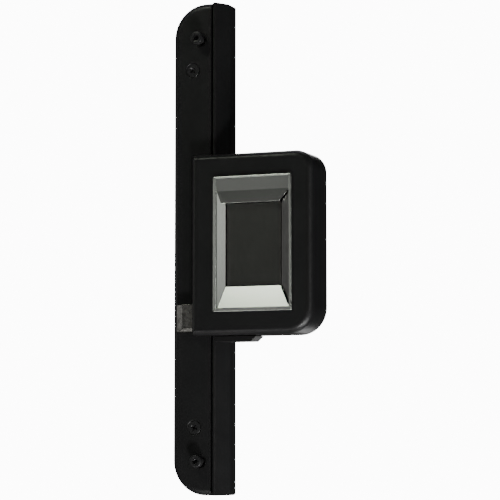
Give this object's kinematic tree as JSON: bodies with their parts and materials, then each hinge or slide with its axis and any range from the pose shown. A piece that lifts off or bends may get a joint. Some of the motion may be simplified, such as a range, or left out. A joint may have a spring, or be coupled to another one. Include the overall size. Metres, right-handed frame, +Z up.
{
  "type": "electric door strike",
  "caption": "Surface-mounted electric strike: tall bevelled mounting bar, overhanging rounded box with a steel funnel pocket, swinging keeper, sprung follower plate and trigger nose.",
  "frame": {"origin": "centre of the mounting on the bar's back face, which lies on the door frame: halfway up the bar, in line with its two mounting screws", "axes": "+Z up along the bar, +Y out of the bar's back into the door frame (the strike faces -Y), +X towards the side that the box overhangs"},
  "size_m": [0.072, 0.0222, 0.2286],
  "materials": {
    "black_coat": "satin black powder coat on cast metal",
    "black_screw": "black oxide",
    "bezel_steel": "satin stainless steel",
    "dark_steel": "dark satin steel",
    "zinc_steel": "zinc plated",
    "spring_steel": "drawn spring wire",
    "nickel": "nickel plated steel",
    "copper": "enamelled copper wire",
    "black_plastic": "moulded",
    "white_nylon": "moulded nylon",
    "green_board": "solder resist",
    "green_plastic": "moulded",
    "rubber": "matt",
    "red_lead": "sleeved lead"
  },
  "bodies": {
    "root": {"bar_body": "black_coat", "bar_cover": "black_coat", "mounting_plate": "zinc_steel", "mounting_screw_1": "black_screw", "mounting_screw_2": "black_screw", "cover_screw_1": "black_screw", "cover_screw_2": "black_screw", "plate_screw_1": "zinc_steel", "plate_screw_2": "zinc_steel", "cable_grommet": "rubber", "box_shell": "black_coat", "box_back_cover": "black_coat", "back_cover_screw_1": "black_screw", "back_cover_screw_2": "black_screw", "back_cover_screw_3": "black_screw", "back_cover_screw_4": "black_screw", "box_fixing_screw_1": "zinc_steel", "box_fixing_screw_2": "zinc_steel", "access_cover": "black_coat", "access_cover_screw_1": "black_screw", "access_cover_screw_2": "black_screw", "bezel": "bezel_steel", "pocket_liner": "zinc_steel", "keeper_pin": "zinc_steel", "keeper_spring": "spring_steel", "solenoid_frame": "zinc_steel", "solenoid_bobbin": "white_nylon", "solenoid_coil": "copper", "plunger_spring": "spring_steel", "follower_spring_1": "spring_steel", "follower_spring_2": "spring_steel", "follower_sensor": "black_plastic", "trigger_spring": "spring_steel", "trigger_guide": "white_nylon", "trigger_sensor": "black_plastic", "circuit_board": "green_board", "board_standoff_1": "white_nylon", "board_standoff_2": "white_nylon", "board_standoff_3": "white_nylon", "board_standoff_4": "white_nylon", "terminal_block": "green_plastic", "terminal_screw_1": "nickel", "terminal_screw_2": "nickel", "terminal_screw_3": "nickel", "terminal_screw_4": "nickel", "relay": "black_plastic", "capacitor": "nickel", "solenoid_leads": "red_lead"},
    "keeper": {"keeper": "dark_steel"},
    "plunger": {"lock_plunger": "nickel"},
    "follower": {"follower_plate": "dark_steel", "follower_magnet": "nickel"},
    "trigger": {"trigger_bolt": "nickel", "trigger_magnet": "nickel"}
  },
  "joints": [
    {"name": "keeper_swing", "type": "hinge", "parent": "root", "child": "keeper", "pos_m": [0.0444, -0.0072, 0], "axis": [0, 0, 1], "range_deg": [0, 30], "stiffness_Nm_per_rad": 0.02, "springref_deg": -17.19},
    {"name": "plunger_slide", "type": "slide", "parent": "root", "child": "plunger", "axis": [0, 0, -1], "range_m": [0, 0.004], "stiffness_N_per_m": 50, "springref_m": -0.004, "deforming": ["plunger_spring"]},
    {"name": "follower_slide", "type": "slide", "parent": "root", "child": "follower", "axis": [0, 1, 0], "range_m": [0, 0.0075], "stiffness_N_per_m": 80, "springref_m": -0.01, "deforming": ["follower_spring_1", "follower_spring_2"]},
    {"name": "trigger_slide", "type": "slide", "parent": "root", "child": "trigger", "axis": [1, 0, 0], "range_m": [0, 0.008], "stiffness_N_per_m": 50, "springref_m": -0.009, "deforming": ["trigger_spring"]}
  ]
}
